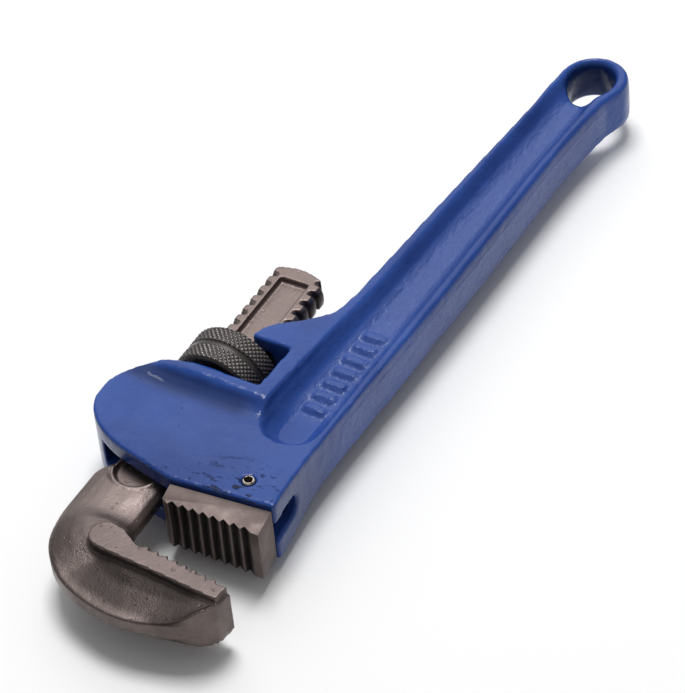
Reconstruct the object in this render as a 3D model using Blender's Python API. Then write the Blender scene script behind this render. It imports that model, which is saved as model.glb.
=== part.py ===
"""Heavy-duty pipe wrench of the 350 mm class, lying flat on its side.

X runs along the handle from the jaws (-X) to the hanging eye (+X), Y from the jaw opening (-Y)
to the adjusting nut (+Y), Z is up. The world origin is the middle of the footprint, at floor level.
Plan outlines are drawn in millimetres from the tool's own datum, which lies on the heel jaw pin's line.
"""
import math

import bmesh
import bpy
from mathutils import Matrix, Vector

MM = 0.001

# Driving dimensions, millimetres
HEAD_HALF = 12.5            # half thickness of the housing at the jaws
CHEEK_HALF = 9.4            # half thickness where the flat cheek meets the nut collar
COLLAR_HALF = 13.2          # half thickness of the collar in front of the nut
HANDLE_HALF = 9.25          # half thickness of the handle near the eye
WEB_HALF = 3.15             # half thickness of the handle's web
HEEL_X = -2.8               # tips of the heel jaw's teeth
JAW_HALF = 10.3             # half thickness of both jaws
FRONT_LOW, FRONT_HIGH = (8.9, -13.9), (5.9, 24.6)   # ends of the face behind the heel jaw
TOOTH_PITCH = 3.93
TOOTH_DEPTH = 1.75
TOOTH_COUNT = 8
PIN_X, PIN_Y = 16.2, 0.0
PIN_RADIUS, PIN_BORE = 2.2, 1.55
FIT_GAP = 0.3               # gap kept between pieces that touch
NUT_X = 66.0                # middle of the adjusting nut
NUT_LENGTH = 16.4
NUT_RADIUS = 16.7
SHANK_Y = 39.7              # axis of the hook jaw's shank
SHANK_HALF = 4.8            # half thickness of the shank
CREST_RADIUS = 10.7         # thread, at the shank's edges
ROOT_RADIUS = 8.6
THREAD_PITCH = 5.5
SHANK_END = 121.2
WINDOW = (56.8, 78.2, 19.5)  # nut window: front, back, inner side
EYE_X, EYE_Y, EYE_OUTER = 254.6, -8.8, 13.1
TUNNEL_HALF = 5.3           # half height of the shank's passage
HOOK_TIP_X = -47.75
HEAD_TOP_Y = 68.7

# moves the datum to the middle of the footprint, at floor level
FRAME = Vector((-(HOOK_TIP_X + EYE_X + EYE_OUTER) / 2, -(HEAD_TOP_Y + EYE_Y - EYE_OUTER) / 2, NUT_RADIUS))


# ---------------------------------------------------------------- helpers

def clear_scene():
    for obj in list(bpy.data.objects):
        bpy.data.objects.remove(obj, do_unlink=True)


def collection(name):
    group = bpy.data.collections.new(name)
    bpy.context.scene.collection.children.link(group)
    return group


def material(name, colour, roughness, metallic):
    finish = bpy.data.materials.new(name)
    finish.use_nodes = True
    shader = finish.node_tree.nodes["Principled BSDF"]
    shader.inputs["Base Color"].default_value = (*colour, 1.0)
    shader.inputs["Roughness"].default_value = roughness
    shader.inputs["Metallic"].default_value = metallic
    finish.diffuse_color = (*colour, 1.0)
    return finish


def make_object(name, bm, group):
    """Turn a bmesh in datum millimetres into an object in metres, still on the datum."""
    bmesh.ops.scale(bm, vec=(MM, MM, MM), verts=bm.verts)
    bmesh.ops.recalc_face_normals(bm, faces=bm.faces)
    mesh = bpy.data.meshes.new(name)
    bm.to_mesh(mesh)
    bm.free()
    obj = bpy.data.objects.new(name, mesh)
    group.objects.link(obj)
    if group.name == "cutters":
        obj.hide_render = True
        obj.display_type = "WIRE"
    return obj


def seat(obj, x, y, z, finish):
    """Give a finished piece its origin at a datum point and put it in the world frame."""
    point = Vector((x, y, z))
    obj.data.transform(Matrix.Translation(-point * MM))
    obj.location = (point + FRAME) * MM
    obj.data.materials.clear()
    obj.data.materials.append(finish)
    obj.data.shade_smooth()
    obj.data.set_sharp_from_angle(angle=math.radians(30))


def arc(cx, cy, radius, start, end, steps):
    """Points on an arc, angles in degrees."""
    angles = [math.radians(start + (end - start) * i / steps) for i in range(steps + 1)]
    return [(cx + radius * math.cos(a), cy + radius * math.sin(a)) for a in angles]


def curve_through(points, steps):
    """A smooth open curve through a few points (Catmull-Rom)."""
    padded = [points[0]] + list(points) + [points[-1]]
    result = []
    for i in range(len(points) - 1):
        p0, p1, p2, p3 = [Vector(p) for p in padded[i:i + 4]]
        for k in range(steps):
            t = k / steps
            result.append(tuple(0.5 * (2 * p1 + (p2 - p0) * t + (2 * p0 - 5 * p1 + 4 * p2 - p3) * t * t
                                       + (3 * p1 - p0 - 3 * p2 + p3) * t ** 3)))
    return result + [tuple(points[-1])]


def prism(name, outline, low, high, group, upright=True):
    """A flat outline given thickness along Z, or along Y when it is drawn in X and Z."""
    bm = bmesh.new()
    ring = [bm.verts.new((a, b, low) if upright else (a, low, b)) for a, b in outline]
    face = bm.faces.new(ring)
    grown = bmesh.ops.extrude_face_region(bm, geom=[face])["geom"]
    lift = (0, 0, high - low) if upright else (0, high - low, 0)
    bmesh.ops.translate(bm, vec=lift, verts=[v for v in grown if isinstance(v, bmesh.types.BMVert)])
    return make_object(name, bm, group)


def box(name, low, high, group):
    outline = [(low[0], low[1]), (high[0], low[1]), (high[0], high[1]), (low[0], high[1])]
    return prism(name, outline, low[2], high[2], group)


def drum(name, centre, radius, length, axis, group, steps=32):
    """A cylinder with its middle at centre, along X, Y or Z."""
    bm = bmesh.new()
    bmesh.ops.create_cone(bm, cap_ends=True, segments=steps, radius1=radius, radius2=radius, depth=length)
    turn = {"X": Matrix.Rotation(math.pi / 2, 4, "Y"), "Y": Matrix.Rotation(math.pi / 2, 4, "X"),
            "Z": Matrix.Identity(4)}[axis]
    bmesh.ops.transform(bm, matrix=Matrix.Translation(centre) @ turn, verts=bm.verts)
    return make_object(name, bm, group)


def boolean(obj, other, operation):
    step = obj.modifiers.new(f"{operation.lower()}_{other.name}", "BOOLEAN")
    step.operation = operation
    step.object = other
    step.solver = "EXACT"


def bake(obj):
    """Make the modifiers' result the object's own mesh."""
    evaluated = obj.evaluated_get(bpy.context.evaluated_depsgraph_get())
    mesh = bpy.data.meshes.new_from_object(evaluated)
    obj.modifiers.clear()
    obj.data = mesh


def helix_ridge(name, x_start, turns, half_base, half_tip, inner, outer, group, steps=24):
    """A trapezoid bar wound right-handed round the shank's axis, half_base wide at its inner edge.

    It starts 3 degrees on, so its corners don't line up with those of the piece it cuts.
    """
    lead = 3.0
    bm = bmesh.new()
    corners = [(-half_base, inner), (-half_tip, outer), (half_tip, outer), (half_base, inner)]
    face = bm.faces.new([bm.verts.new((x_start + x, SHANK_Y + r, 0)) for x, r in corners])
    bmesh.ops.spin(bm, geom=[face, *face.edges, *face.verts], cent=(0, SHANK_Y, 0), axis=(1, 0, 0),
                   dvec=(THREAD_PITCH / steps, 0, 0), angle=2 * math.pi * turns,
                   steps=int(steps * turns), use_duplicate=False)
    bmesh.ops.rotate(bm, cent=(0, SHANK_Y, 0), matrix=Matrix.Rotation(math.radians(lead), 3, "X"),
                     verts=bm.verts)
    bmesh.ops.translate(bm, vec=(THREAD_PITCH * lead / 360, 0, 0), verts=bm.verts)
    return make_object(name, bm, group)


# ---------------------------------------------------------------- handle and housing

def housing_outline():
    """Whole silhouette of the casting, from the front corner at the heel jaw round to the handle."""
    front = [FRONT_LOW, FRONT_HIGH]
    nose = curve_through([FRONT_HIGH, (9.7, 39.3), (13.7, 52.2), (19.2, 61.3), (25.9, 66.9), (32.5, 68.7),
                          (40.2, 67.9), (48.4, 62.8), (54.2, 56.2), (WINDOW[0], 47.0)], 4)
    window = [(WINDOW[0], WINDOW[2]), (WINDOW[1], WINDOW[2]), (WINDOW[1], 34.3)]
    ear = curve_through([(79.0, 35.3), (83.8, 33.5), (88.4, 29.8), (92.7, 24.6), (97.5, 19.5), (102.5, 16.2),
                         (108.5, 14.8)], 3)
    back = curve_through([(124.6, 13.9), (176.9, 10.0), (211.4, 7.2), (232.5, 5.5), (243.6, 5.3)], 3)
    end = arc(EYE_X, EYE_Y, EYE_OUTER, 84, -96, 16)
    belly = curve_through([(243.8, -18.7), (222.9, -16.6), (200.6, -15.7), (150.0, -15.0), (110.0, -13.8),
                           (70.0, -12.0), (40.0, -11.4), (22.0, -12.6)], 3)
    return front + nose[1:] + window + ear + back + end + belly


def side_profile(stations):
    """Closed outline in X and Z from (x, half thickness) stations."""
    return stations + [(x, -half) for x, half in reversed(stations)]


def collar_stations(cheek, collar):
    """Half thickness along X: flat cheek, hollow in front of the collar, collar, yoke and handle."""
    foot = cheek + 0.3
    return [(0.0, HEAD_HALF), (16.0, HEAD_HALF), (42.0, cheek), (47.0, foot), (49.6, (foot * 2 + collar) / 3),
            (51.3, (foot + collar * 3) / 4), (52.7, collar), (60.0, collar), (74.0, 12.0), (90.0, 11.2),
            (110.0, 9.8), (130.0, HANDLE_HALF), (280.0, HANDLE_HALF)]


# Where Y is, how thick the cheek and the collar are there: the collar is crowned over the shank
COLLAR_RINGS = [(9.0, CHEEK_HALF, 12.7), (14.0, CHEEK_HALF, 12.7), (24.0, CHEEK_HALF, COLLAR_HALF),
                (39.7, CHEEK_HALF + 0.1, 14.0), (52.0, 10.3, 13.4), (60.0, 11.4, 12.7), (66.0, 12.2, 12.4),
                (90.0, 12.2, 12.4)]
BELLY_SIDE = [(0.0, HEAD_HALF), (16.0, HEAD_HALF), (42.0, CHEEK_HALF), (60.0, HANDLE_HALF),
              (280.0, HANDLE_HALF)]


def ruled_side(name, rings, group):
    """A solid whose profile in X and Z changes along Y."""
    bm = bmesh.new()
    rows = [[bm.verts.new((x, y, z)) for x, z in side_profile(collar_stations(cheek, collar))]
            for y, cheek, collar in rings]
    bm.faces.new(rows[0])
    bm.faces.new(rows[-1])
    for near, far in zip(rows, rows[1:]):
        for i, vert in enumerate(near):
            after = (i + 1) % len(near)
            bm.faces.new((vert, near[after], far[after], far[i]))
    bmesh.ops.triangulate(bm, faces=[face for face in bm.faces if len(face.verts) == 4])
    return make_object(name, bm, group)


def pocket_loop(start_x, end_x, spread, steps):
    """Outline of the handle's recess, spread outwards from its floor by a distance."""
    def left(x):
        return 6.7 - (x - 60.0) * 0.052

    def right(x):
        return -3.3 - (x - 60.0) * 0.0214 - max(0.0, x - 200.0) * 0.03
    near = start_x - spread
    far = end_x + spread
    top = [(x, left(x) + spread) for x in (start_x + 4.0, 100.0, 150.0, 200.0, end_x - 3.0)]
    low = [(x, right(x) - spread) for x in (end_x - 3.0, 200.0, 150.0, 100.0, start_x + 4.0)]
    far_mid = ((top[-1][1] + low[0][1]) / 2, (top[-1][1] - low[0][1]) / 2)
    near_mid = ((top[0][1] + low[-1][1]) / 2, (top[0][1] - low[-1][1]) / 2)
    cap = [(top[-1][0] + (far - top[-1][0]) * math.sin(a), far_mid[0] + far_mid[1] * math.cos(a))
           for a in [math.pi * i / steps for i in range(1, steps)]]
    nose = [(top[0][0] - (top[0][0] - near) * math.sin(a), near_mid[0] - near_mid[1] * math.cos(a))
            for a in [math.pi * i / steps for i in range(1, steps)]]
    return top + cap + low + nose


def recess_cutter(sign, group):
    """The handle's long recess on one face: floor, sloped sides and an opening above."""
    levels = [(WEB_HALF, 0.0), (WEB_HALF + 0.9, 1.7), (WEB_HALF + 2.8, 3.8), (HANDLE_HALF - 0.9, 5.2),
              (HANDLE_HALF, 5.9), (16.0, 8.0)]
    bm = bmesh.new()
    rings = []
    for height, spread in levels:
        loop = pocket_loop(44.0, 252.0, spread, 6)
        rings.append([bm.verts.new((x, y, sign * height)) for x, y in loop])
    bm.faces.new(rings[0])
    bm.faces.new(rings[-1])
    for lower, upper in zip(rings, rings[1:]):
        for i, vert in enumerate(lower):
            after = (i + 1) % len(lower)
            bm.faces.new((vert, lower[after], upper[after], upper[i]))
    return make_object(f"recess_{'top' if sign > 0 else 'bottom'}", bm, group)


def tunnel_cutters(group):
    """Passages through the housing: shank tunnel, yoke gap, heel slot, pin, spring pocket, eye."""
    tunnel = [(0.0, 25.7), (16.0, 25.7), (22.0, 23.9), (60.0, 23.9), (60.0, 52.5), (36.0, 58.5), (0.0, 58.5)]
    slot = [(0.0, -4.05), (21.0, -4.05)] + arc(21.0, 0.0, 4.05, -90, 90, 8)[1:] + [(0.0, 4.05)]
    return [
        prism("shank_tunnel", tunnel, -TUNNEL_HALF, TUNNEL_HALF, group),
        box("yoke_gap", (70.0, 27.9, -TUNNEL_HALF), (120.0, 60.0, TUNNEL_HALF), group),
        prism("heel_slot", slot, -25.0, 22.0, group, upright=False),
        drum("pin_hole", (PIN_X, PIN_Y, 0), PIN_RADIUS + FIT_GAP, 40, "Z", group, 24),
        drum("spring_pocket", (40.0, 22.0, 0), 3.6, 9.0, "Y", group, 20),
        eye_cutter(group),
    ]


def eye_cutter(group):
    """The oval hanging hole, flared where it meets both faces."""
    levels = [(-20.0, 3.4), (-HANDLE_HALF - 0.3, 2.5), (-HANDLE_HALF + 0.6, 1.2), (-HANDLE_HALF + 2.2, 0.3),
              (-HANDLE_HALF + 3.8, 0.0)]
    levels += [(-height, spread) for height, spread in reversed(levels)]
    bm = bmesh.new()
    rings = []
    for height, spread in levels:
        oval = [(EYE_X - 0.2 + (9.8 + spread) * math.cos(a), EYE_Y + 1.1 + (8.6 + spread) * math.sin(a))
                for a in [math.pi * i / 16 for i in range(32)]]
        rings.append([bm.verts.new((x, y, height)) for x, y in oval])
    bm.faces.new(rings[0])
    bm.faces.new(rings[-1])
    for lower, upper in zip(rings, rings[1:]):
        for i, vert in enumerate(lower):
            after = (i + 1) % len(lower)
            bm.faces.new((vert, lower[after], upper[after], upper[i]))
    return make_object("eye_hole", bm, group)


def make_handle_housing(group, cutters, finish):
    outline = housing_outline()
    body = prism("handle_housing", outline, -16, 16, group)
    belly = prism("belly_half", outline, -16, 16, cutters)
    collar_side = ruled_side("collar_side", COLLAR_RINGS, cutters)
    belly_side = prism("belly_side", side_profile(BELLY_SIDE), -40, 12.0, cutters, upright=False)
    boolean(body, collar_side, "INTERSECT")
    boolean(belly, belly_side, "INTERSECT")
    boolean(body, belly, "UNION")
    for cutter in tunnel_cutters(cutters) + [recess_cutter(1, cutters), recess_cutter(-1, cutters)]:
        boolean(body, cutter, "DIFFERENCE")
    bake(body)
    seat(body, 0, 0, 0, finish)
    return body


# ---------------------------------------------------------------- jaws

def tooth_row(start, along, across, count):
    """Saw teeth seen from above: start point, unit step along the row, unit depth direction."""
    points = []
    for i in range(count):
        tip = start + along * (TOOTH_PITCH * i)
        points.append(tip)
        points.append(tip + along * 0.7 + across * TOOTH_DEPTH)
    return [tuple(p) for p in points]


def make_heel_jaw(group, cutters, finish):
    teeth = tooth_row(Vector((HEEL_X, 16.1)), Vector((0, -1)), Vector((1, 0)), TOOTH_COUNT)
    block = [(FRONT_HIGH[0] - 0.4, 24.2), (-1.3, 23.1), (HEEL_X, 20.4), (HEEL_X + TOOTH_DEPTH, 19.4)]
    block += teeth[:-1] + [(HEEL_X, -14.4), (FRONT_LOW[0] - 0.5, -13.0)]
    jaw = prism("heel_jaw", block, -JAW_HALF, JAW_HALF, group)
    section = [(2.0, -3.7), (20.5, -3.7)] + arc(20.5, 0.0, 3.7, -90, 90, 8)[1:] + [(2.0, 3.7)]
    tongue = prism("heel_tongue", section, -8.6, 20.5, cutters, upright=False)
    boolean(jaw, tongue, "UNION")
    boolean(jaw, drum("heel_pin_hole", (PIN_X, PIN_Y, 0), PIN_RADIUS + FIT_GAP, 20, "Z", cutters, 24),
            "DIFFERENCE")
    bake(jaw)
    seat(jaw, PIN_X, PIN_Y, 0, finish)
    return jaw


def make_heel_jaw_pin(group, cutters, finish):
    """Hollow pin with a slot down one side, chamfered at both ends."""
    length = 2 * HEAD_HALF + 0.4
    bm = bmesh.new()
    rim = [(PIN_BORE, -length / 2), (PIN_RADIUS - 0.4, -length / 2), (PIN_RADIUS, -length / 2 + 0.5),
           (PIN_RADIUS, length / 2 - 0.5), (PIN_RADIUS - 0.4, length / 2), (PIN_BORE, length / 2)]
    face = bm.faces.new([bm.verts.new((PIN_X + r, PIN_Y, z)) for r, z in rim])
    bmesh.ops.spin(bm, geom=[face, *face.edges, *face.verts], cent=(PIN_X, PIN_Y, 0), axis=(0, 0, 1),
                   angle=math.radians(334), steps=22, use_duplicate=False)
    bmesh.ops.rotate(bm, cent=(PIN_X, PIN_Y, 0), matrix=Matrix.Rotation(math.radians(103), 3, "Z"),
                     verts=bm.verts)
    pin = make_object("heel_jaw_pin", bm, group)
    seat(pin, PIN_X, PIN_Y, 0, finish)
    return pin


# Hook jaw sections: outer point, inner point, half height at the outer rim, half height further in
HOOK_SECTIONS = [
    ((14.0, 50.0), (14.0, 29.4), 2.2, SHANK_HALF), ((8.0, 54.6), (8.0, 28.7), 2.2, SHANK_HALF),
    ((0.0, 55.3), (0.0, 28.7), 2.2, SHANK_HALF), ((-9.0, 55.2), (-9.5, 28.6), 2.4, 4.9),
    ((-18.0, 54.4), (-13.2, 28.4), 2.9, 7.0), ((-28.0, 51.8), (-14.8, 27.1), 3.1, 8.6),
    ((-35.4, 46.4), (-17.0, 25.6), 2.9, 9.2), ((-40.9, 39.6), (-19.4, 23.2), 2.6, 9.3),
    ((-44.9, 30.5), (-21.6, 20.0), 2.5, 9.3), ((-47.2, 21.2), (-22.8, 15.5), 2.5, 9.3),
    ((-47.7, 12.0), (-23.4, 8.0), 2.5, 9.3), ((-46.4, 3.0), (-24.4, 0.5), 2.8, 9.3),
    ((-43.7, -5.8), (-25.5, -7.0), 4.4, 9.4), ((-39.6, -12.2), (-26.3, -13.0), 7.6, 9.7),
    ((-34.2, -16.6), (-27.3, -18.2), 9.0, 9.8),
]
# How a section goes from its outer to its inner side: part of the way across, share of the rim's height
# and share of the full height, rounded at the neck and dished behind the rail
ROUND_SHAPE = [(0.0, 0.0, 0.0), (0.0, 1.0, 0.0), (0.06, 0.72, 0.28), (0.16, 0.4, 0.6), (0.28, 0.15, 0.85),
               (0.42, 0.0, 1.0), (0.68, 0.0, 1.0), (0.82, 0.0, 0.92), (0.93, 0.0, 0.72), (1.0, 0.0, 0.35),
               (1.0, 0.0, 0.0)]
DISH_SHAPE = [(0.0, 0.0, 0.0), (0.0, 0.95, 0.0), (0.03, 1.08, 0.0), (0.14, 0.85, 0.10), (0.30, 0.6, 0.26),
              (0.48, 0.4, 0.43), (0.66, 0.2, 0.66), (0.78, 0.0, 0.88), (0.97, 0.0, 0.80), (1.0, 0.0, 0.5),
              (1.0, 0.0, 0.0)]
DISH_START, DISH_FULL = 4, 7    # sections between which the dish forms
LOFT_STEPS = 4


def hook_forging(group):
    """The jaw and neck as a loft, upper half mirrored to the lower."""
    outer = curve_through([s[0] for s in HOOK_SECTIONS], LOFT_STEPS)
    inner = curve_through([s[1] for s in HOOK_SECTIONS], LOFT_STEPS)
    heights = curve_through([(s[2], s[3]) for s in HOOK_SECTIONS], LOFT_STEPS)
    bm = bmesh.new()
    rows = []
    for i, (out, inn, (rim, top)) in enumerate(zip(outer, inner, heights)):
        row = []
        dish = min(1.0, max(0.0, (i / LOFT_STEPS - DISH_START) / (DISH_FULL - DISH_START)))
        for plain, dished in zip(ROUND_SHAPE, DISH_SHAPE):
            across, rim_part, top_part = Vector(plain).lerp(Vector(dished), dish)
            x = out[0] + (inn[0] - out[0]) * across
            y = out[1] + (inn[1] - out[1]) * across
            row.append(bm.verts.new((x, y, rim * rim_part + top * top_part)))
        rows.append(row)
    for near, far in zip(rows, rows[1:]):
        for i in range(len(near) - 1):
            bm.faces.new((near[i], near[i + 1], far[i + 1], far[i]))
    bm.faces.new(rows[0])
    bm.faces.new(rows[-1])
    flipped = bmesh.ops.duplicate(bm, geom=bm.verts[:] + bm.edges[:] + bm.faces[:])["geom"]
    bmesh.ops.scale(bm, vec=(1, 1, -1), verts=[v for v in flipped if isinstance(v, bmesh.types.BMVert)])
    bmesh.ops.remove_doubles(bm, verts=bm.verts, dist=0.001)
    return make_object("hook_jaw", bm, group)


def jaw_rail(group):
    """The machined rail with the hook jaw's teeth, 7 degrees open towards the tip."""
    along = Vector((-0.124, -0.992))
    across = Vector((-0.992, 0.124))
    teeth = tooth_row(Vector((-21.8, 15.4)), along, across, TOOTH_COUNT)
    start = [(-28.9, 30.0)] + arc(-22.9, 32.0, 5.6, 165, 10, 6)
    start += [(-18.4, 27.4), (-21.9, 21.4), (-23.2, 18.4)]
    outline = start + teeth + [(-26.5, -16.0), (-27.0, -16.9), (-33.0, -16.0), (-30.9, 6.0)]
    return prism("jaw_rail", outline, -JAW_HALF, JAW_HALF, group)


def shank_bar(group, cutters):
    """Flat bar with round edges and a rounded end, still without its thread."""
    end = arc(100.6, SHANK_Y + 0.8, 20.6, -34, 29, 8)
    plan = [(10.0, SHANK_Y - 12), (SHANK_END - 7.0, SHANK_Y - 12)] + end + [(10.0, SHANK_Y + 12)]
    bar = prism("shank_bar", plan, -SHANK_HALF, SHANK_HALF, cutters)
    rod = drum("shank_rod", (66.0, SHANK_Y, 0), CREST_RADIUS, 130.0, "X", cutters, 48)
    boolean(bar, rod, "INTERSECT")
    return bar


def make_hook_jaw(group, cutters, finish):
    jaw = hook_forging(group)
    boolean(jaw, jaw_rail(cutters), "UNION")
    bar = shank_bar(group, cutters)
    thread = helix_ridge("shank_groove", 21.6, 18, 0.9, 1.35, ROOT_RADIUS, CREST_RADIUS + 1.0, cutters)
    boolean(bar, thread, "DIFFERENCE")
    boolean(jaw, bar, "UNION")
    for side in (-1, 1):
        low, high = sorted((side * (SHANK_HALF - 2.2), side * 8.0))
        slot = [(18.0, SHANK_Y - 5.7), (115.0, SHANK_Y - 5.7), (115.0, SHANK_Y + 5.7), (18.0, SHANK_Y + 5.7)]
        slot += arc(11.0, SHANK_Y + 1.5, 7.6, 90, 270, 12)
        boolean(jaw, prism(f"shank_recess_{side}", slot, low, high, cutters), "DIFFERENCE")
    bake(jaw)
    seat(jaw, NUT_X, SHANK_Y, 0, finish)
    return jaw


# ---------------------------------------------------------------- nut and springs

def make_adjusting_nut(group, cutters, finish):
    """Two bands with chamfered edges and a plain groove between them, threaded inside."""
    half = NUT_LENGTH / 2
    crest = ROOT_RADIUS + 0.35
    profile = [(-half, crest), (-half, NUT_RADIUS - 1.2), (-half + 1.0, NUT_RADIUS), (-1.3, NUT_RADIUS),
               (-0.9, NUT_RADIUS - 0.7), (1.2, NUT_RADIUS - 0.7), (1.6, NUT_RADIUS), (half - 1.0, NUT_RADIUS),
               (half, NUT_RADIUS - 1.2), (half, crest)]
    bm = bmesh.new()
    ring = [bm.verts.new((NUT_X + x, SHANK_Y + r, 0)) for x, r in profile]
    edges = [bm.edges.new(pair) for pair in zip(ring, ring[1:] + ring[:1])]
    bmesh.ops.spin(bm, geom=ring + edges, cent=(0, SHANK_Y, 0), axis=(1, 0, 0), angle=2 * math.pi, steps=48,
                   use_merge=True, use_duplicate=False)
    nut = make_object("adjusting_nut", bm, group)
    turns = 5
    start = NUT_X - THREAD_PITCH * turns / 2
    # the shank's grooves start half a pitch away from its ridges
    phase = (start - 21.6) / THREAD_PITCH
    start -= (phase - math.floor(phase) - 0.5) * THREAD_PITCH
    ridge_tip = THREAD_PITCH / 2 - 1.35 + 0.4
    ridge_base = THREAD_PITCH / 2 - 0.9 + 0.4
    track = helix_ridge("nut_track", start, turns, ridge_base, ridge_tip, crest - 1.0, CREST_RADIUS + 0.4,
                        cutters)
    boolean(nut, track, "DIFFERENCE")
    bake(nut)
    seat(nut, NUT_X, SHANK_Y, 0, finish)
    return nut


def make_flat_spring(group, cutters, finish):
    """Leaf along the shank's inner edge, bent away from it at both ends, with a hole for the rivet."""
    line = curve_through([(29.0, 26.3), (32.5, 27.5), (38.0, 28.0), (46.0, 28.0), (51.5, 27.5),
                          (54.5, 26.5)], 3)
    outline = line + [(x, y - 0.7) for x, y in reversed(line)]
    leaf = prism("flat_spring", outline, -3.4, 3.4, group)
    boolean(leaf, drum("leaf_hole", (40.0, 27.0, 0), 1.4, 6, "Y", cutters, 16), "DIFFERENCE")
    bake(leaf)
    seat(leaf, NUT_X, SHANK_Y, 0, finish)
    return leaf


def make_spring_rivet(group, finish):
    """Flat head on the shank's side of the leaf, stem down into the coil."""
    bm = bmesh.new()
    profile = [(0.0, 28.7), (1.9, 28.7), (2.2, 28.5), (2.2, 28.3), (1.1, 28.3), (1.1, 23.6), (0.0, 23.6)]
    ring = [bm.verts.new((40.0 + r, y, 0)) for r, y in profile]
    edges = [bm.edges.new(pair) for pair in zip(ring, ring[1:])]
    bmesh.ops.spin(bm, geom=ring + edges, cent=(40.0, 0, 0), axis=(0, 1, 0), angle=2 * math.pi, steps=20,
                   use_merge=True, use_duplicate=False)
    bmesh.ops.remove_doubles(bm, verts=bm.verts, dist=0.001)
    rivet = make_object("spring_rivet", bm, group)
    seat(rivet, 40.0, 28.3, 0, finish)
    return rivet


def make_coil_spring(group, finish):
    """Compression spring in the pocket, axis along Y."""
    turns, per_turn, wire, radius = 4.5, 14, 0.45, 2.6
    low, high = 18.3, 26.35
    route = bpy.data.curves.new("coil_spring_route", "CURVE")
    route.dimensions = "3D"
    route.bevel_depth = wire * MM
    route.bevel_resolution = 2
    route.use_fill_caps = True
    spline = route.splines.new("POLY")
    count = int(turns * per_turn) + 1
    spline.points.add(count - 1)
    for i in range(count):
        angle = 2 * math.pi * i / per_turn
        y = low + (high - low) * i / (count - 1)
        place = Vector((radius * math.cos(angle), y - 22.0, radius * math.sin(angle))) * MM
        spline.points[i].co = (*place, 1.0)
    guide = bpy.data.objects.new("coil_spring_route", route)
    group.objects.link(guide)
    mesh = bpy.data.meshes.new_from_object(guide.evaluated_get(bpy.context.evaluated_depsgraph_get()))
    bpy.data.objects.remove(guide)
    bm = bmesh.new()
    bm.from_mesh(mesh)
    bmesh.ops.remove_doubles(bm, verts=bm.verts, dist=0.00001)
    bm.to_mesh(mesh)
    bm.free()
    coil = bpy.data.objects.new("coil_spring", mesh)
    group.objects.link(coil)
    coil.location = (Vector((40.0, 22.0, 0)) + FRAME) * MM
    mesh.materials.clear()
    mesh.materials.append(finish)
    mesh.shade_smooth()
    return coil


def main():
    clear_scene()
    wrench = collection("pipe_wrench")
    cutters = collection("cutters")
    enamel = material("blue_enamel", (0.055, 0.13, 0.42), 0.32, 0.0)
    forged = material("forged_steel", (0.16, 0.13, 0.12), 0.5, 0.9)
    machined = material("machined_steel", (0.22, 0.18, 0.16), 0.42, 0.9)
    blackened = material("blackened_steel", (0.06, 0.055, 0.052), 0.5, 0.85)
    bright = material("bright_steel", (0.5, 0.48, 0.45), 0.3, 1.0)
    spring = material("spring_steel", (0.2, 0.2, 0.21), 0.35, 1.0)
    make_handle_housing(wrench, cutters, enamel)
    make_hook_jaw(wrench, cutters, forged)
    make_adjusting_nut(wrench, cutters, blackened)
    make_heel_jaw(wrench, cutters, machined)
    make_heel_jaw_pin(wrench, cutters, bright)
    make_flat_spring(wrench, cutters, spring)
    make_coil_spring(wrench, spring)
    make_spring_rivet(wrench, bright)


main()
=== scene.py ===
"""Finishes a heavy-duty pipe wrench: rounded enamelled casting, forged and machined steel, knurled nut.

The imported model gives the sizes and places. The wrench lies flat, its handle along X, its jaws at -X.
"""
import math

import bpy
from bpy.props import FloatProperty, FloatVectorProperty, IntProperty
from mathutils import Matrix, Vector


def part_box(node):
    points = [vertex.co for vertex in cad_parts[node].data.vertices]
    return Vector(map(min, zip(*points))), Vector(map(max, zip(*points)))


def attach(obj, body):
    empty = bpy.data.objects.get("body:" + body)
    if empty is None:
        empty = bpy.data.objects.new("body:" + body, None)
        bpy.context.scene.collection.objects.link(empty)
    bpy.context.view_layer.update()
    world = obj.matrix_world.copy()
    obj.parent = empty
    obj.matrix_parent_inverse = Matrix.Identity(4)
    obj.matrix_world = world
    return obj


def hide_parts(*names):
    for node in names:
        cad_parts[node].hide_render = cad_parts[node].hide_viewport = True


bl_info = {
    "name": "Pipe Wrench Finish",
    "version": (1, 0, 0),
    "blender": (4, 5, 0),
    "location": "View3D > Sidebar > Wrench",
    "description": "Models the finished surfaces of a pipe wrench on its packed frame",
    "category": "Object",
}

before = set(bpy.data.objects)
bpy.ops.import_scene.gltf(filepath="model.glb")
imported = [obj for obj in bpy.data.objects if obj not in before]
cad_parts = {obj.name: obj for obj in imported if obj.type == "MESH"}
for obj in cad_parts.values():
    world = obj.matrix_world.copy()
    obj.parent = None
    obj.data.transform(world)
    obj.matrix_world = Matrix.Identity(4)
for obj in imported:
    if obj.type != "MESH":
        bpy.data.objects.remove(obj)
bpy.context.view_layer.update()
MM = 0.001

PIN_LOW, PIN_HIGH = (Vector(corner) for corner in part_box("heel_jaw_pin"))
NUT_LOW, NUT_HIGH = (Vector(corner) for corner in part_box("adjusting_nut"))
NUT_CENTRE = (NUT_LOW + NUT_HIGH) / 2
MID_Z = NUT_CENTRE.z
NUT_RADIUS = (NUT_HIGH.z - NUT_LOW.z) / 2
# the datum is level with the heel jaw's pin and in front of it; the places below are millimetres from it
PIN_X = 16.2
DATUM = Vector(((PIN_LOW.x + PIN_HIGH.x) / 2 - PIN_X * MM, (PIN_LOW.y + PIN_HIGH.y) / 2, MID_Z))
HEAD_TOP = 12.5             # upper face of the head
SHANK_Y = 39.7              # axis of the shank and the nut
EYE_X, EYE_Y = 254.4, -7.7  # middle of the hanging eye
WEB_TOP = 3.4               # height of the web that the raised bars stand on


def at(x, y, z=0.0):
    """A place given in millimetres from the datum."""
    return DATUM + Vector((x, y, z)) * MM


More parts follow.
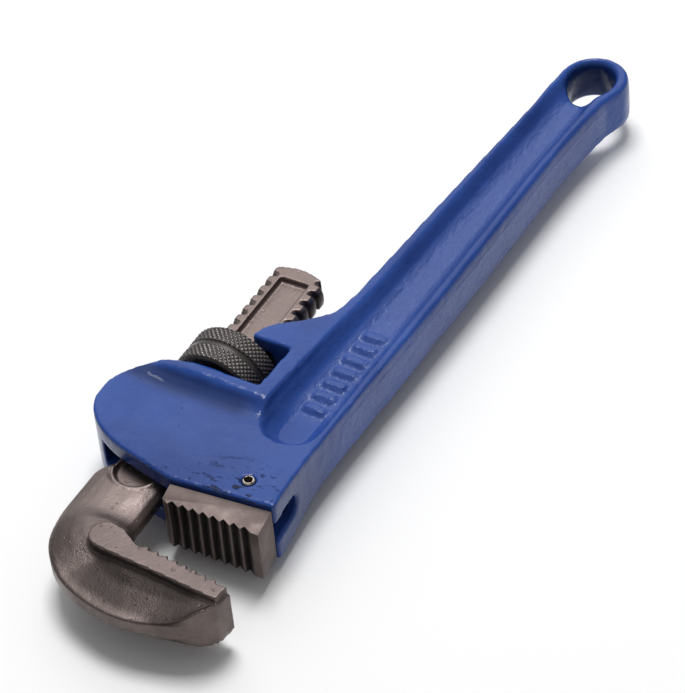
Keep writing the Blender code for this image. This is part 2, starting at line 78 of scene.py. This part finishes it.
# ---------------------------------------------------------------- shader maths

class Field:
    """A shader socket that can be used in sums."""

    def __init__(self, shader, socket):
        self.shader = shader
        self.socket = socket

    def _math(self, operation, first, second=None):
        sockets = {0: first} if second is None else {0: first, 1: second}
        return self.shader.node("ShaderNodeMath", sockets, operation=operation)

    def __add__(self, other):
        return self._math("ADD", self, other)

    __radd__ = __add__

    def __sub__(self, other):
        return self._math("SUBTRACT", self, other)

    def __rsub__(self, other):
        return self._math("SUBTRACT", other, self)

    def __mul__(self, other):
        return self._math("MULTIPLY", self, other)

    def step(self, low, high):
        """A smooth rise from 0 at low to 1 at high."""
        return self.shader.node("ShaderNodeMapRange", {"Value": self, "From Min": low, "From Max": high},
                                interpolation_type="SMOOTHSTEP")

    def away(self):
        return self._math("ABSOLUTE", self)


class Finish:
    """A material under construction, with its Principled shader."""

    def __init__(self, name):
        self.material = bpy.data.materials.new(name)
        self.material.use_nodes = True
        self.tree = self.material.node_tree
        self.shader = self.tree.nodes["Principled BSDF"]

    def node(self, kind, sockets=None, output=0, **settings):
        """Adds a node: its settings, then the values or links of its sockets."""
        made = self.tree.nodes.new(kind)
        for key, value in settings.items():
            setattr(made, key, value)
        for key, value in (sockets or {}).items():
            self.feed(made.inputs[key], value)
        return Field(self, made.outputs[output])

    def feed(self, target, value):
        if isinstance(value, Field):
            self.tree.links.new(value.socket, target)
        elif isinstance(value, tuple) and len(value) == 3 and target.type == "RGBA":
            target.default_value = (*value, 1.0)
        else:
            target.default_value = value

    def place(self):
        return self.node("ShaderNodeTexCoord", output="Object")

    def axes(self):
        """X, Y and Z in millimetres from the datum."""
        spread = self.node("ShaderNodeSeparateXYZ", {0: self.place()})
        source = spread.socket.node
        parts = [Field(self, source.outputs[i]) for i in range(3)]
        return [(part - origin) * 1000.0 for part, origin in zip(parts, DATUM)]

    def noise(self, size_mm, detail=3.0, roughness=0.5, stretch=None):
        """Noise whose features are about size_mm across, from 0 to 1."""
        where = self.place()
        if stretch:
            where = self.node("ShaderNodeMapping", {"Vector": where, "Scale": stretch})
        return self.node("ShaderNodeTexNoise", {"Vector": where, "Scale": 1000.0 / size_mm,
                                                "Detail": detail, "Roughness": roughness})

    def blend(self, factor, first, second):
        """A colour from first to second."""
        made = self.tree.nodes.new("ShaderNodeMix")
        made.data_type = "RGBA"
        self.feed(made.inputs[0], factor)
        self.feed(made.inputs[6], first)
        self.feed(made.inputs[7], second)
        return Field(self, made.outputs[2])

    def surface(self, **sockets):
        for key, value in sockets.items():
            self.feed(self.shader.inputs[key.replace("_", " ")], value)

    def bump(self, height, depth_mm, under=None):
        """Relief of the given depth, on top of another relief where one is given."""
        sockets = {"Height": height, "Distance": depth_mm * MM, "Strength": 1.0}
        if under is not None:
            sockets["Normal"] = under
        return self.node("ShaderNodeBump", sockets)


# ---------------------------------------------------------------- finishes

def scaled(colour, share, lift=0.0):
    """A colour times a share, with an even lift."""
    return tuple(min(1.0, c * share + lift) for c in colour)


def enamel_finish(colour, shade):
    """Thick glossy enamel on a sand casting, with pits and a few chips through to the iron, painted shade
    on the head's walls, in the eye's bore and in the cove, and a painted sheen on the web.
    """
    finish = Finish("wrench_blue_enamel")
    broad = finish.noise(38.0, 2.0)
    fine = finish.noise(3.0, 4.0, 0.6)
    tint = finish.blend(broad.step(0.35, 0.7), colour, shade)
    tint = finish.blend(fine.step(0.55, 0.8) * 0.10, tint, scaled(colour, 1.7, 0.02))
    x, y, z = finish.axes()
    pin_far = finish.node("ShaderNodeVectorMath", {0: finish.place(), 1: tuple(at(PIN_X, 2.0, HEAD_TOP))},
                          1, operation="DISTANCE")
    near_pin = (1.0 - pin_far.step(0.006, 0.019)) * z.away().step(11.0, 12.0)
    front_edge = (1.0 - x.step(9.0, 17.0)) * z.away().step(11.0, 12.0)
    scratch = finish.noise(2.2, 5.0, 0.7, (1.0, 0.38, 1.0)).step(0.575, 0.63)
    scratch = scratch * (near_pin + front_edge * 0.6)
    pits = finish.noise(1.3, 2.0).step(0.70, 0.76) * finish.noise(9.0, 1.0).step(0.50, 0.62)
    chips = finish.noise(1.7, 4.0, 0.65).step(0.745, 0.765) * finish.noise(14.0, 1.0).step(0.58, 0.66)
    tint = finish.blend((scratch + pits) * 0.7, tint, scaled(shade, 0.25))
    tint = finish.blend(chips * 0.7, tint, (0.42, 0.45, 0.52))
    # Painted shade: surfaces of the head that face sideways are painted darker, fading out towards the
    # handle.
    normal = finish.node("ShaderNodeNewGeometry", output="Normal")
    painted_wall_shade = 1.0 - finish.node("ShaderNodeSeparateXYZ", {0: normal}, 2).away().step(0.25, 0.85)
    tint = finish.blend(painted_wall_shade * (0.5 - x.step(20.0, 70.0) * 0.5), tint, scaled(shade, 0.35))
    # Painted shade inside the hanging eye's bore.
    from_eye = finish.node("ShaderNodeMath",
                           {0: (x - EYE_X) * (x - EYE_X) + (y - EYE_Y) * (y - EYE_Y)}, operation="SQRT")
    bore = painted_wall_shade * (1.0 - from_eye.step(9.9, 11.6))
    tint = finish.blend(bore * 0.75, tint, scaled(shade, 0.3))
    # Painted sheen: the web between the handle's flanges is painted lighter; the same mask also sets where
    # the wrinkled relief is strongest.
    web = (1.0 - z.away().step(3.9, 5.4)) * x.step(52.0, 66.0) * (1.0 - x.step(240.0, 246.0))
    tint = finish.blend(web * 0.55, tint, scaled(colour, 1.0, 0.055))
    # Painted shade in the cove beside the nut's window; the same mask also raises the roughness there and
    # calms the relief.
    cove = x.step(41.0, 46.5) * (1.0 - x.step(49.6, 52.0)) * y.step(13.0, 24.0) * z.away().step(8.0, 9.0)
    tint = finish.blend(cove * 0.6, tint, scaled(shade, 0.25))
    wrinkles = finish.noise(3.4, 4.0, 0.6, (0.6, 1.3, 1.0)) * (web * 0.85 + 0.15) * (1.0 - cove)
    peel = finish.bump(finish.noise(1.3, 3.0, 0.6), 0.08)
    lumps = finish.bump(wrinkles, 1.1, peel)
    lumps = finish.bump(finish.noise(6.0, 3.0) * (1.0 - web) * (1.0 - cove), 0.45, lumps)
    worn = finish.bump(1.0 - (scratch + pits), 0.35, lumps)
    gloss = 0.17 + finish.noise(7.0, 3.0) * 0.12 + cove * 0.45
    finish.surface(Base_Color=tint, Roughness=gloss, Normal=worn)
    finish.surface(Coat_Weight=0.15, Coat_Roughness=0.06, IOR=1.42, Specular_IOR_Level=0.3)
    return finish.material


def steel_finish(name, colour, roughness, grain_mm, relief_mm, metallic=0.85, stretch=None, stain=0.5):
    """Bare steel: colour clouds, grain of one size and a fine tooth."""
    finish = Finish(name)
    cloud = finish.noise(11.0, 4.0, 0.6).step(0.3, 0.72)
    speck = finish.noise(0.6, 3.0, 0.7).step(0.54, 0.70)
    dark = scaled(colour, 0.55)
    tint = finish.blend(cloud * stain, colour, dark)
    tint = finish.blend(speck * 0.45, tint, scaled(colour, 1.7))
    grain = finish.bump(finish.noise(grain_mm, 4.0, 0.6, stretch), relief_mm)
    pitting = finish.bump(1.0 - finish.noise(2.1, 2.0).step(0.66, 0.74), relief_mm * 1.5, grain)
    finish.surface(Base_Color=tint, Roughness=roughness - 0.08 + cloud * 0.2, Normal=pitting)
    finish.surface(Metallic=metallic)
    return finish, tint


def forged_finish(forged, machined):
    """One forging: dark scale on the hook, bright ground rail and a machined shank lightened further by a
    painted sheen, with painted shade in the thread grooves and the dish and a painted sheen on the neck.
    """
    finish, tint = steel_finish("wrench_forged_steel", forged, 0.4, 0.7, 0.10, 0.9)
    x, y, z = finish.axes()
    shank = x.step(10.0, 26.0)
    face = z.away().step(9.5, 10.0)
    bright = finish.blend(finish.noise(6.0, 4.0).step(0.3, 0.75) * 0.4, machined, forged)
    tint = finish.blend(face * 0.8, tint, bright)
    # The machined shank, lightened beyond the machined colour as a painted sheen.
    tint = finish.blend(shank * 0.9, tint, scaled(machined, 1.35))
    # Painted shade in the thread grooves along the shank's edges.
    groove = (1.0 - z.away().step(3.0, 4.6)) * shank * (y - SHANK_Y).away().step(7.6, 8.6)
    tint = finish.blend(groove * 0.75, tint, scaled(forged, 0.25))
    # Painted shade in the hook's recessed dish.
    painted_dish_shade = (1.0 - z.away().step(8.4, 9.6)) * (1.0 - x.step(-30.0, -20.0)) * z.away().step(2.6, 3.4)
    painted_dish_shade = painted_dish_shade * (1.0 - y.step(26.0, 42.0)) * y.step(-11.0, -5.0)
    tint = finish.blend(painted_dish_shade * 0.82, tint, scaled(forged, 0.3))
    # Painted sheen on the neck between the shank and the hook.
    painted_neck_sheen = x.step(-24.0, -8.0) * (1.0 - shank)
    tint = finish.blend(painted_neck_sheen * 0.6, tint, scaled(forged, 1.75))
    finish.surface(Base_Color=tint)
    return finish.material


def heel_finish(machined):
    """Ground block whose teeth, below the ground top face, are coloured almost black."""
    finish, tint = steel_finish("wrench_machined_steel", machined, 0.5, 0.7, 0.02,
                                        stretch=(0.25, 3.0, 1.0), stain=0.35)
    x, y, z = finish.axes()
    groove = x.step(-2.75, -2.0) * (1.0 - x.step(0.2, 0.8)) * (1.0 - (z.away() - 10.15).step(0.0, 0.1))
    groove = groove * (1.0 - (y - 4.5).away().step(15.9, 16.1))
    tint = finish.blend(groove * 0.95, tint, scaled(machined, 0.06))
    finish.surface(Base_Color=tint)
    return finish.material


def nut_finish(colour):
    """Blackened steel, rubbed bright on the tips of the knurl, with painted shade in its valleys, its
    middle groove and on its end faces.
    """
    finish, tint = steel_finish("wrench_blackened_steel", colour, 0.38, 0.4, 0.02, 0.8)
    x, y, z = finish.axes()
    reach = finish.node("ShaderNodeMath", {0: (y - SHANK_Y) * (y - SHANK_Y) + z * z}, operation="SQRT")
    rim = NUT_RADIUS / MM
    tint = finish.blend(reach.step(rim - 0.25, rim - 0.02) * 0.55, tint, scaled(colour, 3.0))
    # Painted shade in the knurl's valleys, in the groove between the bands and on the end faces.
    tint = finish.blend((1.0 - reach.step(rim - 0.6, rim - 0.3)) * 0.5, tint, scaled(colour, 0.35))
    finish.surface(Base_Color=tint)
    return finish.material


def pin_finish():
    """Bright spring pin with patches of rust."""
    finish, tint = steel_finish("wrench_bright_pin", (0.62, 0.58, 0.52), 0.3, 0.4, 0.01, 1.0)
    rust = finish.noise(1.6, 4.0, 0.7).step(0.52, 0.66)
    finish.surface(Base_Color=finish.blend(rust, tint, (0.22, 0.075, 0.03)), Roughness=0.3 + rust * 0.45)
    return finish.material


# ---------------------------------------------------------------- modelling helpers

def nothing_selected():
    if bpy.context.object and bpy.context.object.mode != "OBJECT":
        bpy.ops.object.mode_set(mode="OBJECT")
    bpy.ops.object.select_all(action="DESELECT")


def take_up(piece):
    """Makes a piece the only one selected, and active."""
    nothing_selected()
    piece.select_set(True)
    bpy.context.view_layer.objects.active = piece


def working_copy(node, name):
    """A new piece with a node's shape, its loose triangles merged and flat areas made whole."""
    piece = bpy.data.objects.new(name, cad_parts[node].data.copy())
    bpy.context.scene.collection.objects.link(piece)
    piece.data.materials.clear()
    take_up(piece)
    bpy.ops.object.mode_set(mode="EDIT")
    bpy.ops.mesh.select_all(action="SELECT")
    bpy.ops.mesh.remove_doubles(threshold=0.000001)
    bpy.ops.mesh.dissolve_limited(angle_limit=math.radians(0.4))
    bpy.ops.object.mode_set(mode="OBJECT")
    return piece


def add_modifier(piece, name, kind, **settings):
    """Adds a modifier and applies it."""
    take_up(piece)
    step = piece.modifiers.new(name, kind)
    for key, value in settings.items():
        setattr(step, key, value)
    bpy.ops.object.modifier_apply(modifier=step.name)


def join_into(piece, extras):
    take_up(piece)
    for extra in extras:
        extra.select_set(True)
    bpy.context.view_layer.objects.active = piece
    bpy.ops.object.join()


def settle(piece):
    """Puts a piece's place, turn and scale into its mesh."""
    take_up(piece)
    bpy.ops.object.transform_apply(location=True, rotation=True, scale=True)


def soften(piece, voxel_mm, passes, factor=0.5):
    """Gives a sharp solid the run-together, rounded surface of a casting or forging."""
    add_modifier(piece, "skin", "REMESH", mode="VOXEL", voxel_size=voxel_mm * MM)
    add_modifier(piece, "flow", "SMOOTH", factor=factor, iterations=passes)


def roughen(piece, size_mm, height_mm):
    """Uneven surface: broad lumps moved into the mesh."""
    cloud = bpy.data.textures.new(f"{piece.name}_lumps", "CLOUDS")
    cloud.noise_scale = size_mm * MM
    cloud.noise_depth = 3
    add_modifier(piece, "lumps", "DISPLACE", texture=cloud, texture_coords="LOCAL", strength=height_mm * MM,
                 mid_level=0.5)
    bpy.data.textures.remove(cloud)


def finish_piece(piece, material, body, nodes, smooth_angle=None):
    """Shades a piece, gives it its material and fixes it to a body in place of CAD nodes."""
    take_up(piece)
    bpy.ops.object.shade_smooth()
    if smooth_angle:
        bpy.ops.object.shade_smooth_by_angle(angle=math.radians(smooth_angle))
    piece.data.materials.clear()
    piece.data.materials.append(material)
    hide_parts(*nodes)
    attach(piece, body)
    nothing_selected()


def dress_node(node, material):
    """A CAD node whose shape is right keeps it and gets its finish."""
    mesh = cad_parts[node].data
    mesh.materials.clear()
    mesh.materials.append(material)


def bar(centre, size, turn):
    """A plain block, turned about Z."""
    nothing_selected()
    bpy.ops.mesh.primitive_cube_add(size=1.0, location=centre, rotation=(0.0, 0.0, turn))
    block = bpy.context.object
    block.scale = size
    settle(block)
    return block


# ---------------------------------------------------------------- settings

class WrenchCasting(bpy.types.PropertyGroup):
    """Sizes and colours of the enamelled casting."""
    colour: FloatVectorProperty(name="Enamel", description="Colour of the enamel", subtype="COLOR", size=3,
                                default=(0.022, 0.070, 0.300))
    # shade: deeper enamel colour for the random darker clouds and the pits, and the painted shade on the
    # head's walls, in the eye's bore and in the cove.
    shade: FloatVectorProperty(name="Enamel shade", description="Deeper colour where it runs thick",
                               subtype="COLOR", size=3, default=(0.013, 0.045, 0.215))
    voxel: FloatProperty(name="Skin", description="Size of the skin's faces in millimetres", default=0.8)
    rounding: IntProperty(name="Rounding", description="How far the sharp edges have run together",
                          default=6)
    handle_rounding: IntProperty(name="Handle rounding", default=30,
                                 description="How far the handle's edges are rounded")
    mark_count: IntProperty(name="Raised bars", description="Plain raised bars on the web", default=7)


class WrenchSteel(bpy.types.PropertyGroup):
    """Sizes and colours of the steel pieces."""
    forged: FloatVectorProperty(name="Forged", description="Colour of the forging", subtype="COLOR", size=3,
                                default=(0.143, 0.114, 0.107))
    machined: FloatVectorProperty(name="Machined", description="Colour of the ground faces",
                                  subtype="COLOR", size=3, default=(0.152, 0.119, 0.112))
    blackened: FloatVectorProperty(name="Blackened", description="Colour of the nut", subtype="COLOR",
                                   size=3,
                                   default=(0.085, 0.076, 0.076))
    knurl_count: IntProperty(name="Knurl", description="Diamonds round the nut", default=54)
    knurl_depth: FloatProperty(name="Knurl depth", description="Depth in metres", subtype="DISTANCE",
                               default=0.55 * MM)


# ---------------------------------------------------------------- pieces

class OBJECT_OT_wrench_casting(bpy.types.Operator):
    """Model the handle and housing casting"""
    bl_idname = "object.wrench_casting"
    bl_label = "Handle and Housing"
    FIRST_BAR = 62.0
    BAR_PITCH = 6.6
    BAR_SIZE = Vector((3.2, 8.2, 3.0)) * MM
    BAR_TURN = math.radians(-2.3)

    def raised_bars(self, count):
        """A row of plain raised bars along the web, on both faces."""
        blocks = []
        for side in (-1, 1):
            for i in range(count):
                x = self.FIRST_BAR + i * self.BAR_PITCH
                centre = at(x, 1.6 - (x - 60.0) * 0.037, side * WEB_TOP)
                blocks.append(bar(centre, self.BAR_SIZE, self.BAR_TURN))
        return blocks

    def round_handle(self, casting, passes):
        """Rounds the handle's flanges and eye far more than the head's edges; the web is left alone."""
        group = casting.vertex_groups.new(name="handle")
        for vertex in casting.data.vertices:
            x = (vertex.co.x - DATUM.x) / MM
            height = abs(vertex.co.z - DATUM.z) / MM
            along = min(1.0, max(0.0, (x - 88.0) / 30.0))
            above = min(1.0, max(0.0, (height - 5.0) / 1.5))
            if along * above > 0.0:
                group.add([vertex.index], along * above, "REPLACE")
        add_modifier(casting, "wear", "SMOOTH", factor=0.5, iterations=passes, vertex_group="handle")

    def execute(self, context):
        values = context.scene.wrench_casting
        casting = working_copy("handle_housing", "casting")
        join_into(casting, self.raised_bars(values.mark_count))
        soften(casting, values.voxel, values.rounding)
        self.round_handle(casting, values.handle_rounding)
        roughen(casting, 14.0, 0.2)
        roughen(casting, 3.0, 0.05)
        finish_piece(casting, enamel_finish(tuple(values.colour), tuple(values.shade)), "housing",
                     ["handle_housing"])
        return {"FINISHED"}


class OBJECT_OT_wrench_hook(bpy.types.Operator):
    """Model the hook jaw with its threaded shank"""
    bl_idname = "object.wrench_hook"
    bl_label = "Hook Jaw"

    def recess_lip(self, side):
        """Raised lip round the near end of the shank's recess."""
        nothing_selected()
        bpy.ops.mesh.primitive_torus_add(location=at(11.0, 41.2, side * 4.15), major_radius=8.6 * MM,
                                         minor_radius=0.95 * MM, major_segments=48, minor_segments=12)
        lip = bpy.context.object
        bpy.ops.object.mode_set(mode="EDIT")
        bpy.ops.mesh.select_all(action="SELECT")
        bpy.ops.mesh.bisect(plane_co=at(9.5, SHANK_Y, 0.0), plane_no=(1.0, 0.0, 0.0), use_fill=True,
                            clear_outer=True)
        bpy.ops.object.mode_set(mode="OBJECT")
        settle(lip)
        return lip

    def execute(self, context):
        values = context.scene.wrench_steel
        hook = working_copy("hook_jaw", "hook")
        join_into(hook, [self.recess_lip(-1), self.recess_lip(1)])
        soften(hook, 0.5, 3)
        roughen(hook, 9.0, 0.2)
        finish_piece(hook, forged_finish(tuple(values.forged), tuple(values.machined)), "hook_jaw",
                     ["hook_jaw"])
        return {"FINISHED"}


class OBJECT_OT_wrench_nut(bpy.types.Operator):
    """Model the adjusting nut with its two knurled bands"""
    bl_idname = "object.wrench_nut"
    bl_label = "Adjusting Nut"

    def stations(self):
        """(along, radius, knurled) rows from end to end, in millimetres from the nut's middle."""
        half = (NUT_HIGH.x - NUT_LOW.x) / MM / 2 + 0.1
        radius = NUT_RADIUS / MM
        rows = [(-half, 9.5, 0), (-half, radius - 1.3, 0), (-half + 0.5, radius - 0.5, 0)]
        rows += [(-half + 0.9 + i * 0.24, radius, 1) for i in range(26)]
        rows += [(-1.35, radius - 0.35, 0), (-1.1, radius - 0.3, 0), (0.6, radius - 0.3, 0),
                 (0.75, radius - 0.75, 0), (1.05, radius - 0.75, 0), (1.15, radius - 0.2, 0)]
        rows += [(1.35 + i * 0.24, radius, 1) for i in range(26)]
        rows += [(half - 0.5, radius - 0.5, 0), (half, radius - 1.3, 0), (half, 9.5, 0)]
        return rows

    def knurled_blank(self, count, depth):
        """A flat grid wrapped round the shank's axis, its bands pressed into diamonds."""
        rows = self.stations()
        around = count * 6
        nothing_selected()
        bpy.ops.mesh.primitive_grid_add(x_subdivisions=around, y_subdivisions=len(rows) - 1, size=2.0)
        blank = bpy.context.object
        blank.name = "nut_blank"
        for vert in blank.data.vertices:
            turn = (vert.co.x + 1.0) * math.pi
            along, radius, knurled = rows[round((vert.co.y + 1.0) / 2 * (len(rows) - 1))]
            lead = along / 2.1
            cuts = [abs((turn / (2 * math.pi) * count + sign * lead) % 1.0 - 0.5) for sign in (-1, 1)]
            press = depth * knurled * max(0.0, 1.0 - min(0.5 - cut for cut in cuts) / 0.27)
            r = radius * MM - press
            vert.co = NUT_CENTRE + Vector((along * MM, r * math.cos(turn), r * math.sin(turn)))
        bpy.ops.object.mode_set(mode="EDIT")
        bpy.ops.mesh.select_all(action="SELECT")
        bpy.ops.mesh.remove_doubles(threshold=0.000001)
        bpy.ops.mesh.select_all(action="DESELECT")
        bpy.ops.mesh.select_non_manifold()
        bpy.ops.mesh.fill_holes(sides=0)
        bpy.ops.mesh.select_all(action="SELECT")
        bpy.ops.mesh.normals_make_consistent(inside=False)
        bpy.ops.object.mode_set(mode="OBJECT")
        return blank

    def thread_plug(self):
        """The threaded space inside the nut, as a solid."""
        nothing_selected()
        bpy.ops.mesh.primitive_cylinder_add(vertices=53, radius=14.0 * MM, location=NUT_CENTRE,
                                            depth=(NUT_HIGH.x - NUT_LOW.x) + 0.01,
                                            rotation=(0.0, math.pi / 2, 0.0))
        plug = bpy.context.object
        settle(plug)
        inner = working_copy("adjusting_nut", "nut_inner")
        add_modifier(plug, "thread", "BOOLEAN", operation="DIFFERENCE", object=inner, solver="EXACT")
        bpy.data.objects.remove(inner)
        return plug

    def execute(self, context):
        values = context.scene.wrench_steel
        nut = self.knurled_blank(values.knurl_count, values.knurl_depth)
        plug = self.thread_plug()
        add_modifier(nut, "bore", "BOOLEAN", operation="DIFFERENCE", object=plug, solver="EXACT")
        bpy.data.objects.remove(plug)
        if not nut.data.polygons:
            raise RuntimeError("the nut's bore took the whole nut away")
        nut.name = "knurled_nut"
        finish_piece(nut, nut_finish(tuple(values.blackened)), "adjusting_nut", ["adjusting_nut"],
                     35.0)
        return {"FINISHED"}


class OBJECT_OT_wrench_heel(bpy.types.Operator):
    """Model the heel jaw and dress its pin"""
    bl_idname = "object.wrench_heel"
    bl_label = "Heel Jaw and Pin"

    def execute(self, context):
        values = context.scene.wrench_steel
        heel = working_copy("heel_jaw", "toothed_heel")
        add_modifier(heel, "worn_edges", "BEVEL", width=0.22 * MM, segments=2, limit_method="ANGLE",
                     angle_limit=math.radians(25))
        finish_piece(heel, heel_finish(tuple(values.machined)), "housing", ["heel_jaw"],
                     30.0)
        dress_node("heel_jaw_pin", pin_finish())
        return {"FINISHED"}


class OBJECT_OT_wrench_springs(bpy.types.Operator):
    """Dress the spring group inside the housing"""
    bl_idname = "object.wrench_springs"
    bl_label = "Springs"

    def execute(self, context):
        finish = steel_finish("wrench_spring_steel", (0.2, 0.2, 0.21), 0.32, 0.5, 0.01, 1.0)[0]
        for node in ("flat_spring", "coil_spring"):
            dress_node(node, finish.material)
        dress_node("spring_rivet", pin_finish())
        return {"FINISHED"}


class OBJECT_OT_wrench_stage(bpy.types.Operator):
    """Add the floor, lights and camera"""
    bl_idname = "object.wrench_stage"
    bl_label = "Stage"
    # name, place in metres, size in metres, power in watts
    LAMPS = (("key_light", (0.3, 0.15, 1.6), 0.6, 19.0), ("sky_panel", (1.35, 0.9, 1.5), 2.0, 14.0))
    AIR_STRENGTH = 0.3
    VIEW_ANGLES = (33.4, 42.7, 6.2)     # azimuth, elevation and roll in degrees
    AIM_RIGHT, AIM_UP = 38.8, 54.0      # the aim from the head's middle, across and up the view
    DISTANCE = 1.155
    LENS = 183.9

    def floor(self):
        nothing_selected()
        bpy.ops.mesh.primitive_plane_add(size=8.0, location=(0.0, 0.0, -0.0002))
        floor = bpy.context.object
        floor.name = "studio_floor"
        paper = Finish("wrench_studio_paper")
        paper.surface(Base_Color=(0.93, 0.93, 0.93), Roughness=0.8)
        floor.data.materials.append(paper.material)

    def lamp(self, name, place, size, power):
        """A square lamp that faces the wrench."""
        nothing_selected()
        bpy.ops.object.light_add(type="AREA", location=place)
        lamp = bpy.context.object
        lamp.name = name
        lamp.data.size = size
        lamp.data.energy = power
        lamp.rotation_euler = (-Vector(place)).to_track_quat("-Z", "Y").to_euler()

    def camera(self):
        azimuth, elevation, roll = (math.radians(angle) for angle in self.VIEW_ANGLES)
        ahead = Vector((math.cos(azimuth) * math.cos(elevation), math.sin(azimuth) * math.cos(elevation),
                        -math.sin(elevation)))
        level = Vector((math.sin(azimuth), -math.cos(azimuth), 0.0))
        above = level.cross(ahead)
        right = level * math.cos(roll) - above * math.sin(roll)
        up = level * math.sin(roll) + above * math.cos(roll)
        aim = at(0.0, 0.0, HEAD_TOP) + right * self.AIM_RIGHT * MM + up * self.AIM_UP * MM
        nothing_selected()
        bpy.ops.object.camera_add(location=aim - ahead * self.DISTANCE)
        camera = bpy.context.object
        camera.name = "studio_camera"
        camera.data.lens = self.LENS
        camera.data.sensor_width = 36.0
        camera.matrix_world = (Matrix.Translation(camera.location)
                               @ Matrix((right, up, -ahead)).transposed().to_4x4())
        bpy.context.scene.camera = camera

    def execute(self, context):
        self.floor()
        for settings in self.LAMPS:
            self.lamp(*settings)
        self.camera()
        world = bpy.data.worlds.new("studio_air")
        world.use_nodes = True
        air = world.node_tree.nodes["Background"].inputs
        air["Color"].default_value = (1.0, 1.0, 1.0, 1.0)
        air["Strength"].default_value = self.AIR_STRENGTH
        context.scene.world = world
        context.scene.view_settings.view_transform = "Standard"
        return {"FINISHED"}


class VIEW3D_PT_wrench(bpy.types.Panel):
    """Buttons and settings of the wrench"""
    bl_label = "Pipe Wrench"
    bl_idname = "VIEW3D_PT_wrench"
    bl_space_type = "VIEW_3D"
    bl_region_type = "UI"
    bl_category = "Wrench"

    def draw(self, context):
        for group in (context.scene.wrench_casting, context.scene.wrench_steel):
            box = self.layout.box()
            for name in group.bl_rna.properties.keys():
                if name not in ("rna_type", "name"):
                    box.prop(group, name)
        for operator in OPERATORS:
            self.layout.operator(operator.bl_idname)


OPERATORS = (OBJECT_OT_wrench_casting, OBJECT_OT_wrench_hook, OBJECT_OT_wrench_nut, OBJECT_OT_wrench_heel,
             OBJECT_OT_wrench_springs, OBJECT_OT_wrench_stage)
CLASSES = (WrenchCasting, WrenchSteel, *OPERATORS, VIEW3D_PT_wrench)


def register():
    for cls in CLASSES:
        bpy.utils.register_class(cls)
    bpy.types.Scene.wrench_casting = bpy.props.PointerProperty(type=WrenchCasting)
    bpy.types.Scene.wrench_steel = bpy.props.PointerProperty(type=WrenchSteel)


def unregister():
    del bpy.types.Scene.wrench_steel
    del bpy.types.Scene.wrench_casting
    for cls in reversed(CLASSES):
        bpy.utils.unregister_class(cls)


def main():
    register()
    bpy.ops.object.wrench_casting()
    bpy.ops.object.wrench_hook()
    bpy.ops.object.wrench_nut()
    bpy.ops.object.wrench_heel()
    bpy.ops.object.wrench_springs()
    bpy.ops.object.wrench_stage()


if __name__ == "__main__":
    main()
